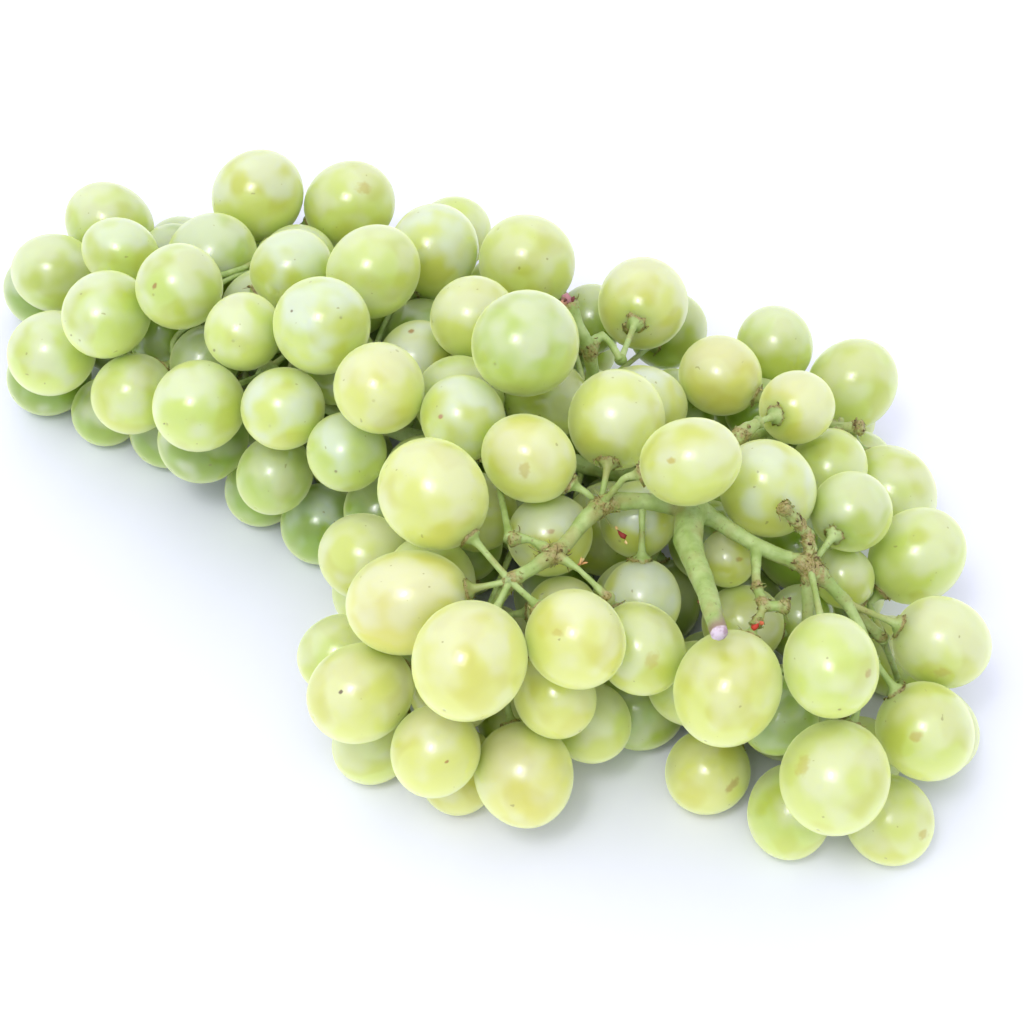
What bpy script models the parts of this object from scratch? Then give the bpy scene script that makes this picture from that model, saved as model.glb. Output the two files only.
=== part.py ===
"""A bunch of white table grapes, lying on a flat surface with its stalk towards the front.

Metres, +Z up, with the origin on the surface, under the middle of the bunch.  The plan below is
in millimetres, with x to the right, y to the back and z up from the surface.
"""
import math

import bmesh
import bpy
import numpy as np
from mathutils import Matrix, Vector

MM = 0.001
PLAN_MIDDLE = (-3.3, 5.1)  # the spot in the plan, x and y, that the bunch is centred on
GAP = 0.3                  # air left between two pieces that touch
SHORTEST = 1.03            # length over width of the roundest berries
LONGEST = 1.14             # and of the most oval ones
REST_DENT = 0.45           # how far a berry on the surface is flattened
GROUNDED_BELOW = 13.5      # berries planned lower than this lie on the surface
FRONT_AND_UP = np.array([0.0, -0.64, 0.77])
INWARD = 0.35              # least turn of a hidden stalk end away from the front and top
LOWEST_LEAN = -0.3         # least upward lean of a stalk end

# Settling: how the planned berries are pushed clear of each other, round by round.
SETTLE_ROUNDS = 900
ROUNDS_A_TURN = 20         # the berries are turned to the wood once in so many rounds
PUSH = 0.35                # share of an overlap that each of the two berries gives way
SHOWN_PULL = 0.04          # share of the way home that a berry is drawn back in each round
LOOSE_PULL = 0.01          # the same for the filling berries

# Filling berries: those inside and behind the bunch.
FILL_WIDTH = 19.5
FILL_VARIES = 0.08         # by this share either way
FILL_LEVELS = (9.0, 24.0, 32.0, 40.0, 48.0)
FILL_STEP = 6.0            # spacing of the spots that are tried
FILL_FIELD = 100.0         # half the depth of the field of spots
FILL_ASPECT = 1.2          # width of that field over its depth
COVER_DISTANCE = 6.0       # a berry hides another if it is at least so far above or before it
COVER_ABOVE = 0.8          # and so near its line of sight, in widths: from above
COVER_BEFORE = 0.45        # and from the front
NEIGHBOURHOOD = 26.0       # a filling berry at the back has company this close
LEAST_ABOUT = 3
TIGHT_FIT = 0.43           # room that a filling berry needs about its middle, in widths

# Berries that have grown together, joined over a small round patch.
MOST_NODES = 59            # the stem is one more
MOST_IN_NODE = 5
WIDEST_NECK = 3.0          # berries further apart than this are never joined
NECK_RADIUS = 2.2
NECK_CORNER = 1.3          # wood keeps this many radii from the patch
NECK_SIDES = 4
NECK_DEPTH = 1.6           # how far the patch reaches into each of the two

# Stem and stalks.
STALK_RADIUS = 0.85
ROOT_SPREAD = 0.2          # stalks leave the wood from spots this far apart, so that none coincide
CUP_RADIUS = 1.8           # the swollen end of a stalk, where it holds its berry
CUP_DEPTH = 1.6
STALK_TESTS = 12           # spots along a stalk that are tested for room
CURVE_STEPS = 2            # straight stretches between two points of a run

# ---- The woody frame.  Each run is a list of points (x, y, z) with the radius at each. ----

FORK = (52, -32, 52)
LEFT_JOINT = (32, -35, 56)
LEFT_SIDE = (22, -49, 57)
LEFT_END = (13, -56, 57)
RIGHT_BEND = (65, -41, 50)
RIGHT_JOINT = (76, -46, 49)
BACK_TURN = (54, -20, 42)
BACK_LIFT = (20, 4, 28)
BACK_END = (-76, 50, 43)
UPPER_RIGHT = (63, -16, 57)
FAR_RIGHT = (80, 4, 40)
UPPER_FORK = (31, 11, 56)
TWIG_END = (38, 9, 55)

RUNS = [
    # the stalk, cut off at its front end
    [(54, -74, 63, 2.0), (53, -66, 61, 2.1), (52, -56, 58, 2.3), (50, -44, 55, 2.7), (*FORK, 2.9)],
    # the branch to the front left, and the one to the right
    [(*FORK, 2.9), (41, -33, 55, 1.9), (*LEFT_JOINT, 1.9), (26, -44, 57, 1.6), (*LEFT_SIDE, 1.5),
     (*LEFT_END, 1.4)],
    [(*FORK, 2.9), (57, -35, 51, 1.9), (*RIGHT_BEND, 1.7), (72, -44, 49, 1.6), (*RIGHT_JOINT, 1.8)],
    # the main stem, running back through the middle of the bunch
    [(*FORK, 2.9), (*BACK_TURN, 2.6), (44, -7, 32, 2.4), (*BACK_LIFT, 2.2), (-10, 10, 28, 2.0),
     (-34, 18, 32, 1.8), (-50, 30, 38, 1.6), (-66, 47, 43, 1.4), (*BACK_END, 1.2)],
    # side branches
    [(*LEFT_END, 1.4), (10, -54, 46, 1.3), (8, -50, 34, 1.2), (4, -46, 25, 1.0)],
    [(*RIGHT_JOINT, 1.8), (76, -53, 38, 1.3), (78, -58, 26, 1.0)],
    [(*RIGHT_JOINT, 1.8), (84, -51, 43, 1.3), (89, -62, 38, 1.1)],
    [(*BACK_TURN, 2.6), (57, -20, 51, 1.7), (*UPPER_RIGHT, 1.7), (67, -13, 58, 1.2)],
    [(*UPPER_RIGHT, 1.7), (66, -7, 46, 1.2), (*FAR_RIGHT, 1.2), (89, 3, 39, 1.1), (94, 2, 40, 1.5)],
    [(*BACK_LIFT, 2.2), (31, 9, 42, 1.6), (*UPPER_FORK, 1.6), (28, 13, 62, 1.5), (26, 16, 66, 1.9)],
    [(*UPPER_FORK, 1.6), (34, 14, 58, 1.0), (*TWIG_END, 0.9)],
    # twigs whose berries have come off, each ending in a knob
    [(*LEFT_SIDE, 1.5), (17, -45, 57, 0.9), (13, -45, 57, 1.9)],
    [(*LEFT_SIDE, 1.5), (27, -53, 57, 0.9), (33, -58, 54, 1.1)],
    [(*RIGHT_BEND, 1.7), (64, -53, 51, 1.1), (65, -58, 51, 1.0), (63, -62, 50, 1.3)],
    [(65, -58, 51, 1.0), (70, -58, 51, 1.5)],
    [(*RIGHT_JOINT, 1.8), (76, -39, 51, 1.3), (70, -37, 58, 1.8)],
    [(84, -51, 43, 1.3), (93, -52, 32, 1.5)],
]

# ---- The berries.  x, y, z of the middle, width and length. ----

# Berries whose own stalk shows: each also has the point on the frame that its stalk leaves from.
STALKED = [
    ((50, -35, 70, 18, 21), LEFT_JOINT),
    ((36, -14, 60, 21, 22), LEFT_JOINT),
    ((17, -28, 62, 18, 20.5), LEFT_JOINT),
    ((-3, -40, 64, 22, 24), LEFT_END),
    ((-8, -56, 50, 21.5, 26), LEFT_END),
    ((5, -75, 56, 22.5, 24.5), LEFT_END),
    ((26, -70, 56, 19.5, 20.5), LEFT_END),
    ((41, -45, 36, 17, 17.5), (41, -33, 55)),
    ((77, -72, 50, 19, 22), RIGHT_JOINT),
    ((86, -28, 46, 17.3, 18), RIGHT_JOINT),
    ((105, -55, 34, 19.5, 21), (84, -51, 43)),
    ((100, -73, 28, 20, 21), (89, -62, 38)),
    ((77, -3, 52, 16.5, 17), (67, -13, 58)),
    ((60, 15, 42, 18.5, 19.5), FAR_RIGHT),
    ((45, 39, 44, 21.5, 25), TWIG_END),
]

# The other berries that show, by the part of the bunch that they lie in.
FAR_LEFT = [
    (-91, 86, 26, 21.5), (-84, 59, 42, 17), (-104, 69, 25, 20), (-106, 48, 10, 20.5), (-100, 37, 29, 20.5),
    (-83, 33, 45, 20), (-65, 34, 54, 20), (-62, 61, 38, 21.5), (-76, 77, 22, 19.5), (-52, 83, 40, 22.5),
    (-76, 23, 30, 19), (-90, 37, 9, 17), (-60, 14, 22, 21), (-49, 12, 9, 18.5), (-72, 31, 10, 19),
    (-73, 44, 30, 18.5), (-60, 33, 34, 16),
]
LEFT = [
    (-39, 42, 52, 18), (-30, 11, 62, 21.5), (-48, 17, 56, 17.5), (-58, 3, 46, 20.5), (-37, 0, 50, 18.5),
    (-42, -2, 28, 17.5), (-23, -11, 46, 17.5), (-33, -1, 10, 19), (-29, 84, 36, 22), (-19, 35, 58, 21),
    (-14, -9, 64, 19.5), (-7, -12, 42, 17.5), (-9, 20, 44, 17.5),
]
MIDDLE = [
    (-6, 55, 46, 21.5), (-2, 82, 28, 19), (17, 51, 46, 23), (4, 19, 56, 19), (15, -3, 70, 22.5),
    (3, -13, 62, 18), (22, 5, 46, 18), (33, 49, 29, 17), (46, 10, 40, 19), (41, -28, 43, 16.5),
]
FRONT = [
    (-19, -30, 32, 19.5), (-17, -10, 25, 17), (-24, -48, 20, 18), (-17, -67, 34, 20.5), (41, -64, 44, 18),
    (-17, -63, 9, 17.5), (-3, -77, 28, 18.5), (16, -79, 21, 20.5), (2, -70, 9, 17.5), (22, -70, 36, 16.5),
    (30, -64, 18, 17), (43, -54, 9, 18.5), (6, -28, 44, 17), (3, -23, 29, 16.5), (21, -36, 46, 17.5),
    (24, -46, 37, 14.5),
]
RIGHT = [
    (56, -74, 46, 21.5), (79, -87, 32, 22), (102, -30, 32, 20), (101, -4, 24, 21.5), (87, -4, 35, 17.5),
    (68, -25, 52, 20), (96, 26, 28, 21), (77, 33, 34, 18.5), (73, 19, 29, 16), (61, -36, 36, 12),
    (87, -35, 30, 13), (56, -71, 13, 18), (73, -81, 11, 18), (94, -83, 11, 18.5), (70, -68, 26, 16),
    (65, -42, 24, 17), (77, -38, 22, 15.5), (100, -40, 9, 18), (98, 13, 15, 16.5), (107, -60, 10, 18),
    (91, -65, 9, 15),
]


def rounded(run):
    """A run drawn as a smooth curve through its points (Catmull-Rom), with the radius along it."""
    points = np.array(run, float)
    points = np.vstack([2 * points[0] - points[1], points, 2 * points[-1] - points[-2]])
    curve = []
    for before, start, end, after in zip(points, points[1:], points[2:], points[3:]):
        for t in np.arange(CURVE_STEPS) / CURVE_STEPS:
            curve.append(0.5 * (2 * start + (end - before) * t
                                + (2 * before - 5 * start + 4 * end - after) * t ** 2
                                + (3 * start - before - 3 * end + after) * t ** 3))
    return np.array(curve + [points[-2]])


def straight_stretches(curves):
    return np.array([pair for curve in curves for pair in zip(curve, curve[1:])])


CURVES = [rounded(run) for run in RUNS]
SEGMENTS = straight_stretches(CURVES)


def nearest_on_frame(points, segments=SEGMENTS):
    """For each point: the nearest spot on the wood, how far off it is, and the wood's radius there."""
    starts, ends = segments[:, 0], segments[:, 1]
    runs = ends[:, :3] - starts[:, :3]
    along = np.einsum("psk,sk->ps", points[:, None] - starts[None, :, :3], runs) / np.sum(runs ** 2, 1)
    along = np.clip(along, 0.0, 1.0)[..., None]
    spots = starts[:, :3] + along * runs
    apart = np.linalg.norm(points[:, None] - spots, axis=2)
    pick = (np.arange(len(points)), np.argmin(apart, 1))
    radii = (starts[:, 3] + along[..., 0] * (ends[:, 3] - starts[:, 3]))[pick]
    return spots[pick], apart[pick], radii


class Bunch:
    """All the berries: middles, widths and lengths, and the spot on the wood that each hangs from."""

    def __init__(self):
        rng = np.random.default_rng(7)
        rows = [spot for spot, _ in STALKED]
        for x, y, z, width in FAR_LEFT + LEFT + MIDDLE + FRONT + RIGHT:
            rows.append((x, y, z, width, width * rng.uniform(SHORTEST, LONGEST)))
        self.shown = len(rows)
        rows += self.filling(np.array(rows, float))
        table = np.array(rows, float)
        self.home = table[:, :3].copy()
        self.middle = table[:, :3].copy()
        self.width = table[:, 3]
        self.length = table[:, 4]
        self.aim()

    @staticmethod
    def filling(shown):
        """Berries inside and behind the bunch: wherever one fits among those that show, hidden by them."""
        rng = np.random.default_rng(11)
        taken = shown.copy()
        added = []
        rows = np.arange(-FILL_FIELD, FILL_FIELD, FILL_STEP)
        for height in FILL_LEVELS:
            for back in rows:
                for across in rows * FILL_ASPECT:
                    spot = np.array([across, back, height])
                    width = FILL_WIDTH * rng.uniform(1 - FILL_VARIES, 1 + FILL_VARIES)
                    away = shown[:, :3] - spot
                    beside = np.hypot(away[:, 0], away[:, 1])
                    under = np.any((away[:, 2] > COVER_DISTANCE) & (beside < COVER_ABOVE * shown[:, 3]))
                    ahead = away @ FRONT_AND_UP
                    aside = np.linalg.norm(away - ahead[:, None] * FRONT_AND_UP, axis=1)
                    behind = np.any((ahead > COVER_DISTANCE) & (aside < COVER_BEFORE * shown[:, 3]))
                    about = np.sum(np.linalg.norm(away, axis=1) < NEIGHBOURHOOD)
                    if not behind or not (under or about >= LEAST_ABOUT):
                        continue
                    room = np.min(np.linalg.norm(taken[:, :3] - spot, axis=1) - taken[:, 3] / 2)
                    _, wood, radius = nearest_on_frame(spot[None])
                    if min(room, wood[0] - radius[0]) > TIGHT_FIT * width:
                        added.append((*spot, width, width * rng.uniform(SHORTEST, LONGEST)))
                        taken = np.vstack([taken, added[-1]])
        return added

    def aim(self):
        """Turn each long axis: its stalk end faces the wood, and inwards where the stalk is hidden."""
        self.node = nearest_on_frame(self.middle)[0]
        for index, (_, node) in enumerate(STALKED):
            self.node[index] = node
        way = self.node - self.middle
        way /= np.linalg.norm(way, axis=1)[:, None]
        outward = np.maximum(way @ FRONT_AND_UP + INWARD, 0.0)
        outward[:len(STALKED)] = 0.0
        outward[self.shown:] = 0.0
        way -= outward[:, None] * FRONT_AND_UP
        way[:, 2] = np.maximum(way[:, 2], LOWEST_LEAN)
        self.axis = way / np.linalg.norm(way, axis=1)[:, None]

    def reach(self, which, way):
        """How far the berries picked by which reach from their middles, each in its own direction."""
        along = np.sum(way * self.axis[which], axis=-1)
        wide, long = self.width[which] ** 2, self.length[which] ** 2
        return 0.5 * np.sqrt(wide + (long - wide) * along ** 2)

    def room(self, spots, which):
        """The radius of the thickest wood that passes the spots clear of the berries picked by which."""
        away = spots[:, None] - self.middle[which]
        apart = np.linalg.norm(away, axis=2)
        return np.min(apart - self.reach(which, away / apart[..., None])) - GAP

    def settle(self):
        """Push the berries clear of each other, of the wood and of the surface, but near their homes."""
        first, second = np.triu_indices(len(self.middle), 1)
        everyone = np.arange(len(self.middle))
        up = np.array([0.0, 0.0, 1.0])
        pull = np.where(everyone < self.shown, SHOWN_PULL, LOOSE_PULL)[:, None]
        grounded = self.home[:, 2] < GROUNDED_BELOW
        for step in range(SETTLE_ROUNDS):
            if step < SETTLE_ROUNDS // 2:
                self.middle += pull * (self.home - self.middle)
            if step % ROUNDS_A_TURN == 0:
                self.aim()
            way = self.middle[second] - self.middle[first]
            apart = np.linalg.norm(way, axis=1)
            way /= apart[:, None]
            overlap = self.reach(first, way) + self.reach(second, way) + GAP - apart
            hit = overlap > 0.0
            push = way[hit] * overlap[hit, None] * PUSH
            np.add.at(self.middle, first[hit], -push)
            np.add.at(self.middle, second[hit], push)
            spots, apart, radius = nearest_on_frame(self.middle)
            way = (self.middle - spots) / apart[:, None]
            overlap = self.reach(everyone, way) + radius + GAP - apart
            self.middle += way * np.maximum(overlap, 0.0)[:, None]
            low = self.reach(everyone, up) - REST_DENT
            self.middle[:, 2] = np.where(grounded, low, np.maximum(self.middle[:, 2], low))


# ---- Build ----

def clear_scene():
    for leftover in list(bpy.data.objects):
        bpy.data.objects.remove(leftover, do_unlink=True)


def material(name, colour, roughness):
    paint = bpy.data.materials.new(name)
    paint.use_nodes = True
    shader = paint.node_tree.nodes["Principled BSDF"]
    shader.inputs["Base Color"].default_value = (*colour, 1.0)
    shader.inputs["Roughness"].default_value = roughness
    shader.inputs["Metallic"].default_value = 0.0
    return paint


def add_object(name, mesh, paint):
    thing = bpy.data.objects.new(name, mesh)
    bpy.context.scene.collection.objects.link(thing)
    mesh.materials.clear()
    mesh.materials.append(paint)
    return thing


def berry_shape(bunch, index):
    """An icosphere drawn out to the berry's oval, with a corner at its lowest point, flat where it lies."""
    axis = Vector(bunch.axis[index])
    turn = Vector((0.0, 0.0, 1.0)).rotation_difference(axis).to_matrix()
    half = Matrix.Diagonal((bunch.width[index] / 2, bunch.width[index] / 2, bunch.length[index] / 2))
    oval = turn @ half
    lowest = oval.transposed() @ Vector((0.0, 0.0, -1.0))
    start = Vector((0.0, 0.0, -1.0)).rotation_difference(lowest).to_matrix()
    shape = bmesh.new()
    place = Matrix.Translation(Vector(bunch.middle[index])) @ (oval @ start).to_4x4()
    bmesh.ops.create_icosphere(shape, subdivisions=2, radius=1.0, matrix=place)
    if min(v.co.z for v in shape.verts) < 0.0:
        everything = shape.verts[:] + shape.edges[:] + shape.faces[:]
        cut = bmesh.ops.bisect_plane(shape, geom=everything, plane_co=(0, 0, 0), plane_no=(0, 0, -1),
                                     clear_outer=True)
        rim = [e for e in cut["geom_cut"] if isinstance(e, bmesh.types.BMEdge)]
        bmesh.ops.contextual_create(shape, geom=rim)
    return shape


def neck_shape(bunch, one, other):
    """The short round patch that joins two berries where they press against each other."""
    start, end = Vector(bunch.middle[one]), Vector(bunch.middle[other])
    way = (end - start).normalized()
    line = np.array(way)[None]
    near = float(bunch.reach(np.array([one]), line)[0]) - NECK_DEPTH
    far = (end - start).length - float(bunch.reach(np.array([other]), line)[0]) + NECK_DEPTH
    shape = bmesh.new()
    turn = Vector((0.0, 0.0, 1.0)).rotation_difference(way).to_matrix().to_4x4()
    place = Matrix.Translation(start + way * (near + far) / 2) @ turn
    bmesh.ops.create_cone(shape, cap_ends=True, segments=NECK_SIDES, radius1=NECK_RADIUS,
                          radius2=NECK_RADIUS, depth=far - near, matrix=place)
    return shape


def to_mesh(shape, name):
    """Write a shape out in metres, about the middle of the plan."""
    bmesh.ops.translate(shape, vec=(-PLAN_MIDDLE[0], -PLAN_MIDDLE[1], 0.0), verts=shape.verts)
    bmesh.ops.scale(shape, vec=(MM, MM, MM), verts=shape.verts)
    bmesh.ops.recalc_face_normals(shape, faces=shape.faces)
    mesh = bpy.data.meshes.new(name)
    shape.to_mesh(mesh)
    shape.free()
    return mesh


def settled_mesh(thing):
    """The mesh with its modifiers worked in, which then come off."""
    bpy.context.view_layer.update()
    whole = bpy.data.meshes.new_from_object(thing.evaluated_get(bpy.context.evaluated_depsgraph_get()))
    thing.modifiers.clear()
    return whole


def joined(name, shapes, paint):
    """One solid from shapes that overlap, added to the first in turn."""
    body = add_object(name, to_mesh(shapes[0], name), paint)
    tools = []
    for shape in shapes[1:]:
        tool = add_object("tool", to_mesh(shape, "tool"), paint)
        union = body.modifiers.new("join", "BOOLEAN")
        union.operation = "UNION"
        union.solver = "EXACT"
        union.object = tool
        tools.append(tool)
    body.data = settled_mesh(body)
    for tool in tools:
        bpy.data.objects.remove(tool, do_unlink=True)
    return body


def grown_together(bunch, wood):
    """Group touching berries, closest first and clear of the wood, until few enough nodes are left."""
    first, second = np.triu_indices(len(bunch.middle), 1)
    way = bunch.middle[second] - bunch.middle[first]
    apart = np.linalg.norm(way, axis=1)
    way /= apart[:, None]
    air = apart - bunch.reach(first, way) - bunch.reach(second, way)
    touch = bunch.middle[first] + way * (bunch.reach(first, way) + air / 2)[:, None]
    near = np.flatnonzero(air < WIDEST_NECK)
    _, wood_apart, wood_radius = nearest_on_frame(touch[near], wood)
    near = near[wood_apart > wood_radius + NECK_CORNER * NECK_RADIUS + GAP]
    group = {i: [i] for i in range(len(bunch.middle))}
    links = {i: [] for i in range(len(bunch.middle))}
    home = list(range(len(bunch.middle)))
    for k in near[np.argsort(np.round(air[near], 2), kind="stable")]:
        a, b = home[first[k]], home[second[k]]
        if a == b or len(group[a]) + len(group[b]) > MOST_IN_NODE:
            continue
        if len(group) <= MOST_NODES:
            break
        links[a] += links.pop(b) + [(int(first[k]), int(second[k]))]
        for member in group[b]:
            home[member] = a
        group[a] += group.pop(b)
    return [(group[g], links[g]) for g in sorted(group)]


def stalks(bunch):
    """Runs for the berries' own stalks, wherever a straight stalk has a clear way to the wood."""
    rng = np.random.default_rng(5)
    runs = []
    everyone = np.arange(len(bunch.middle))
    for i in everyone:
        cup = bunch.middle[i] + bunch.axis[i] * (bunch.length[i] / 2 + GAP)
        neck = cup + bunch.axis[i] * CUP_DEPTH
        spot = bunch.node[i] if i < len(STALKED) else nearest_on_frame(neck[None])[0][0]
        root = spot + rng.uniform(-ROOT_SPREAD, ROOT_SPREAD, 3)
        along = neck + np.linspace(0.0, 1.0, STALK_TESTS)[:, None] * (root - neck)
        others = everyone[everyone != i]
        cup_radius = min(CUP_RADIUS, bunch.room(cup[None], others), bunch.room(neck[None], others))
        if min(cup_radius, bunch.room(along, everyone)) > STALK_RADIUS:
            runs.append(np.array([(*root, STALK_RADIUS), (*neck, STALK_RADIUS), (*cup, cup_radius)]))
    return runs


def tube_mesh(run, bevel_steps):
    """A tube through a run's points, closed at both ends: four-sided, or six-sided with one bevel step."""
    line = bpy.data.curves.new("run", "CURVE")
    line.dimensions = "3D"
    line.bevel_depth = MM
    line.bevel_resolution = bevel_steps
    line.use_fill_caps = True
    spline = line.splines.new("POLY")
    spline.points.add(len(run) - 1)
    for point, (x, y, z, radius) in zip(spline.points, run):
        point.co = ((x - PLAN_MIDDLE[0]) * MM, (y - PLAN_MIDDLE[1]) * MM, z * MM, 1.0)
        point.radius = radius
    holder = bpy.data.objects.new("run", line)
    mesh = bpy.data.meshes.new_from_object(holder)
    bpy.data.objects.remove(holder, do_unlink=True)
    return mesh


def stem_object(name, own_stalks, paint):
    """One solid: tubes along the frame's curves and the berries' own stalks, united where they meet."""
    tubes = bpy.data.collections.new("tubes")
    bpy.context.scene.collection.children.link(tubes)
    stem = add_object(name, tube_mesh(CURVES[0], 1), paint)
    meshes = [tube_mesh(curve, 1) for curve in CURVES[1:]] + [tube_mesh(stalk, 0) for stalk in own_stalks]
    for mesh in meshes:
        tubes.objects.link(bpy.data.objects.new("tube", mesh))
    union = stem.modifiers.new("join", "BOOLEAN")
    union.operation = "UNION"
    union.solver = "EXACT"
    union.operand_type = "COLLECTION"
    union.collection = tubes
    stem.data = settled_mesh(stem)
    for tube in list(tubes.objects):
        bpy.data.objects.remove(tube, do_unlink=True)
    bpy.data.collections.remove(tubes)
    return stem


def build():
    clear_scene()
    skin_green = material("grape skin", (0.58, 0.70, 0.22), 0.3)
    stem_green = material("green stem", (0.36, 0.50, 0.16), 0.55)
    bunch = Bunch()
    bunch.settle()
    bunch.aim()
    kinds = {1: "berry", 2: "berry_pair", 3: "berry_trio", 4: "berry_four", 5: "berry_five"}
    counts = dict.fromkeys(kinds, 0)
    own_stalks = stalks(bunch)
    for members, links in grown_together(bunch, straight_stretches(CURVES + own_stalks)):
        size = len(members)
        counts[size] += 1
        shapes = [berry_shape(bunch, members[0])]
        have = {members[0]}
        waiting = list(links)
        while waiting:
            one, other = next(pair for pair in waiting if have & set(pair))
            waiting.remove((one, other))
            new = other if one in have else one
            have.add(new)
            shapes += [neck_shape(bunch, one, other), berry_shape(bunch, new)]
        joined(f"{kinds[size]}_{counts[size]:02d}", shapes, skin_green)
    stem_object("stem", own_stalks, stem_green)


build()
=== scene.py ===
"""A bunch of white table grapes, lying on a pale surface with its cut stalk towards the viewer.

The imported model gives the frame.  Each group of berries stands in for the CAD node of the same
name, and the stem for the node "stem".  The plan is in millimetres, x to the right, y to the back
and z up; it is turned into metres about PLAN_MIDDLE when a mesh is made.
"""

import math

import bpy
import numpy as np
from mathutils import Matrix, Vector, noise


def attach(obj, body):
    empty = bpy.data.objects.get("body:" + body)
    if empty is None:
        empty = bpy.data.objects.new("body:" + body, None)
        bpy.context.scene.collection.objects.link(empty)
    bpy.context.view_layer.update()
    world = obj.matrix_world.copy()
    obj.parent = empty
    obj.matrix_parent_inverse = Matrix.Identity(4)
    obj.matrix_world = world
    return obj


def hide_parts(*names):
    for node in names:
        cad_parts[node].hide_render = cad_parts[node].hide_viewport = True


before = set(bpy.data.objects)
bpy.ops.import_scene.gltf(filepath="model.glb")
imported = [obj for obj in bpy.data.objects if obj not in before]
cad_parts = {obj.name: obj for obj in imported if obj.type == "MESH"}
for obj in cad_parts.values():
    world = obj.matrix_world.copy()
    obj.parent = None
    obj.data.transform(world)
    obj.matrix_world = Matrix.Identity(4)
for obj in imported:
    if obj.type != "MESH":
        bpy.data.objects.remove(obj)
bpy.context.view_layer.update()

# ---- The wood: where it runs ----
# A bunch's woody frame: the stalk it was cut off by, a fork, and branches that end in twigs.  The
# berries hang from it, so its runs come first.  Each is a list of (x, y, z, radius).

MM = 0.001
PLAN_MIDDLE = (-3.3, 5.1)  # the spot in the plan, x and y, that the bunch is centred on
GAP = 0.3                  # air between the solids of two pieces that touch
CURVE_STEPS = 2            # straight stretches between two points of a run

FORK = (52, -32, 52)
LEFT_JOINT = (32, -35, 56)
LEFT_SIDE = (22, -49, 57)
LEFT_END = (13, -56, 57)
RIGHT_BEND = (65, -41, 50)
RIGHT_JOINT = (76, -46, 49)
BACK_TURN = (54, -20, 42)
BACK_LIFT = (20, 4, 28)
BACK_END = (-76, 50, 43)
UPPER_RIGHT = (63, -16, 57)
FAR_RIGHT = (80, 4, 40)
UPPER_FORK = (31, 11, 56)
TWIG_END = (38, 9, 55)

RUNS = [
    # the stalk, cut off at its front end
    [(54, -74, 63, 2.0), (53, -66, 61, 2.1), (52, -56, 58, 2.3), (50, -44, 55, 2.7), (*FORK, 2.9)],
    # the branch to the front left, and the one to the right
    [(*FORK, 2.9), (41, -33, 55, 1.9), (*LEFT_JOINT, 1.9), (26, -44, 57, 1.6), (*LEFT_SIDE, 1.5),
     (*LEFT_END, 1.4)],
    [(*FORK, 2.9), (57, -35, 51, 1.9), (*RIGHT_BEND, 1.7), (72, -44, 49, 1.6), (*RIGHT_JOINT, 1.8)],
    # the main stem, running back through the middle of the bunch
    [(*FORK, 2.9), (*BACK_TURN, 2.6), (44, -7, 32, 2.4), (*BACK_LIFT, 2.2), (-10, 10, 28, 2.0),
     (-34, 18, 32, 1.8), (-50, 30, 38, 1.6), (-66, 47, 43, 1.4), (*BACK_END, 1.2)],
    # side branches
    [(*LEFT_END, 1.4), (10, -54, 46, 1.3), (8, -50, 34, 1.2), (4, -46, 25, 1.0)],
    [(*RIGHT_JOINT, 1.8), (76, -53, 38, 1.3), (78, -58, 26, 1.0)],
    [(*RIGHT_JOINT, 1.8), (84, -51, 43, 1.3), (89, -62, 38, 1.1)],
    [(*BACK_TURN, 2.6), (57, -20, 51, 1.7), (*UPPER_RIGHT, 1.7), (67, -13, 58, 1.2)],
    [(*UPPER_RIGHT, 1.7), (66, -7, 46, 1.2), (*FAR_RIGHT, 1.2), (89, 3, 39, 1.1), (94, 2, 40, 1.5)],
    [(*BACK_LIFT, 2.2), (31, 9, 42, 1.6), (*UPPER_FORK, 1.6), (28, 13, 62, 1.5), (26, 16, 66, 1.9)],
    [(*UPPER_FORK, 1.6), (34, 14, 58, 1.0), (*TWIG_END, 0.9)],
    # twigs whose berries have come off, each ending in a knob
    [(*LEFT_SIDE, 1.5), (17, -45, 57, 0.9), (13, -45, 57, 1.9)],
    [(*LEFT_SIDE, 1.5), (27, -53, 57, 0.9), (33, -58, 54, 1.1)],
    [(*RIGHT_BEND, 1.7), (64, -53, 51, 1.1), (65, -58, 51, 1.0), (63, -62, 50, 1.3)],
    [(65, -58, 51, 1.0), (70, -58, 51, 1.5)],
    [(*RIGHT_JOINT, 1.8), (76, -39, 51, 1.3), (70, -37, 58, 1.8)],
    [(84, -51, 43, 1.3), (93, -52, 32, 1.5)],
]

def rounded(run):
    """A run drawn as a smooth curve through its points (Catmull-Rom), with the radius along it."""
    points = np.array(run, float)
    points = np.vstack([2 * points[0] - points[1], points, 2 * points[-1] - points[-2]])
    curve = []
    for before, start, end, after in zip(points, points[1:], points[2:], points[3:]):
        for t in np.arange(CURVE_STEPS) / CURVE_STEPS:
            curve.append(0.5 * (2 * start + (end - before) * t
                                + (2 * before - 5 * start + 4 * end - after) * t ** 2
                                + (3 * start - before - 3 * end + after) * t ** 3))
    return np.array(curve + [points[-2]])


def straight_stretches(curves):
    return np.array([pair for curve in curves for pair in zip(curve, curve[1:])])


CURVES = [rounded(run) for run in RUNS]
SEGMENTS = straight_stretches(CURVES)


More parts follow.
